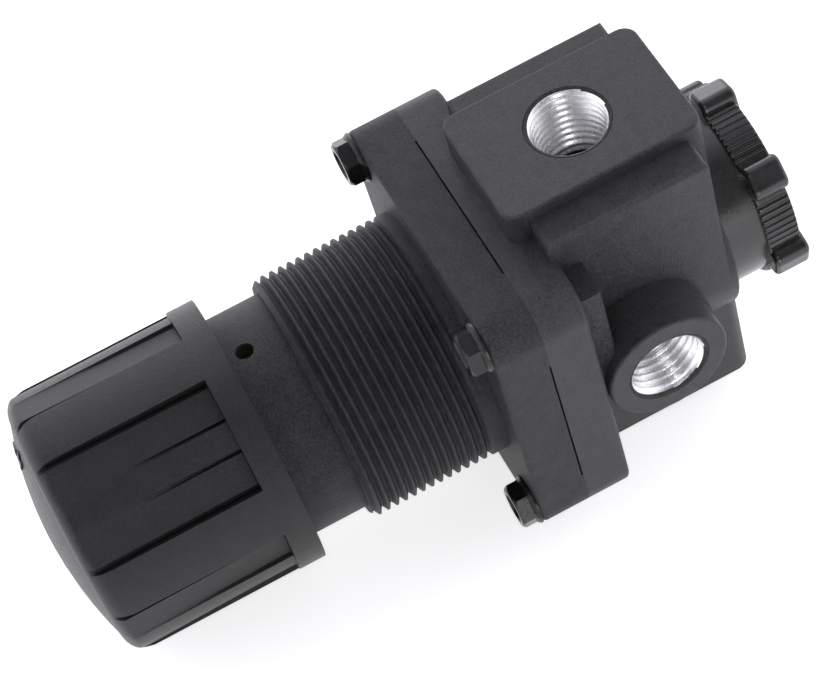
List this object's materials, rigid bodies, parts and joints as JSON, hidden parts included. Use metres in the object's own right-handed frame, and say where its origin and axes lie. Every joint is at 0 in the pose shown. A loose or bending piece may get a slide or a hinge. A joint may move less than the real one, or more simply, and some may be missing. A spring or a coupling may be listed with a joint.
{
  "type": "air pressure regulator",
  "caption": "Relieving air pressure regulator with threaded panel-mount bonnet, push-to-lock knob, opposed line and gauge ports, and a hand-turned bottom plug",
  "frame": {"origin": "centre of the bonnet flange's front face, on the stem axis, where a mounting panel seats", "axes": "-Y runs up the stem to the knob, +Y to the bottom plug; +Z and -Z face the two line ports; +X and -X face the two gauge ports"},
  "size_m": [0.0536, 0.1283, 0.0654],
  "materials": {
    "cast_body": "black paint on a fine cast texture, satin",
    "bonnet_plastic": "black moulded, matt",
    "black_screws": "black finished steel",
    "knob_plastic": "black moulded, satin gloss",
    "plug_plastic": "black moulded, satin gloss",
    "steel": "zinc plated",
    "spring_steel": "drawn wire",
    "brass": "turned",
    "rubber": "moulded nitrile"
  },
  "bodies": {
    "housing": {"body": "cast_body", "bonnet": "bonnet_plastic", "bonnet_screws": "black_screws", "thrust_washer": "brass", "range_spring": "spring_steel", "diaphragm": "rubber", "valve_seat": "brass", "seat_o_ring": "rubber", "aspirator_tube": "brass", "valve_spring": "spring_steel"},
    "screw": {"adjusting_screw": "steel"},
    "knob": {"adjusting_knob": "knob_plastic"},
    "nut": {"spring_nut": "brass"},
    "diaphragm_stack": {"diaphragm_plate": "steel", "diaphragm_nut": "steel", "relief_seat": "brass"},
    "valve": {"valve_stem": "brass", "valve_disc": "rubber"},
    "plug_seal": {"plug_o_ring": "rubber"},
    "plug": {"bottom_plug": "plug_plastic", "stem_o_ring": "rubber"}
  },
  "joints": [
    {"name": "knob_turn", "type": "hinge", "parent": "housing", "child": "screw", "pos_m": [0, 0, 0], "axis": [0, 1, 0], "range_deg": [0, 2160]},
    {"name": "knob_pull", "type": "slide", "parent": "screw", "child": "knob", "axis": [0, -1, 0], "range_m": [0, 0.003]},
    {"name": "nut_travel", "type": "slide", "parent": "housing", "child": "nut", "axis": [0, 1, 0], "range_m": [0, 0.00901], "deforming": ["range_spring"]},
    {"name": "diaphragm_stroke", "type": "slide", "parent": "housing", "child": "diaphragm_stack", "axis": [0, 1, 0], "range_m": [0, 0.0012], "stiffness_N_per_m": 1200, "springref_m": -0.001, "deforming": ["diaphragm"]},
    {"name": "valve_lift", "type": "slide", "parent": "housing", "child": "valve", "axis": [0, 1, 0], "range_m": [0, 0.0012], "deforming": ["valve_spring"]},
    {"name": "plug_travel", "type": "slide", "parent": "housing", "child": "plug_seal", "axis": [0, 1, 0], "range_m": [0, 0.00601]},
    {"name": "plug_turn", "type": "hinge", "parent": "plug_seal", "child": "plug", "pos_m": [0, 0.05, 0], "axis": [0, 1, 0], "range_deg": [0, 1440]}
  ],
  "couplings": [
    {"joint": "nut_travel", "follows": "knob_turn", "m_per_rad": 0.00023873},
    {"joint": "valve_lift", "follows": "diaphragm_stroke", "ratio": 1},
    {"joint": "plug_travel", "follows": "plug_turn", "m_per_rad": 0.00023873}
  ]
}
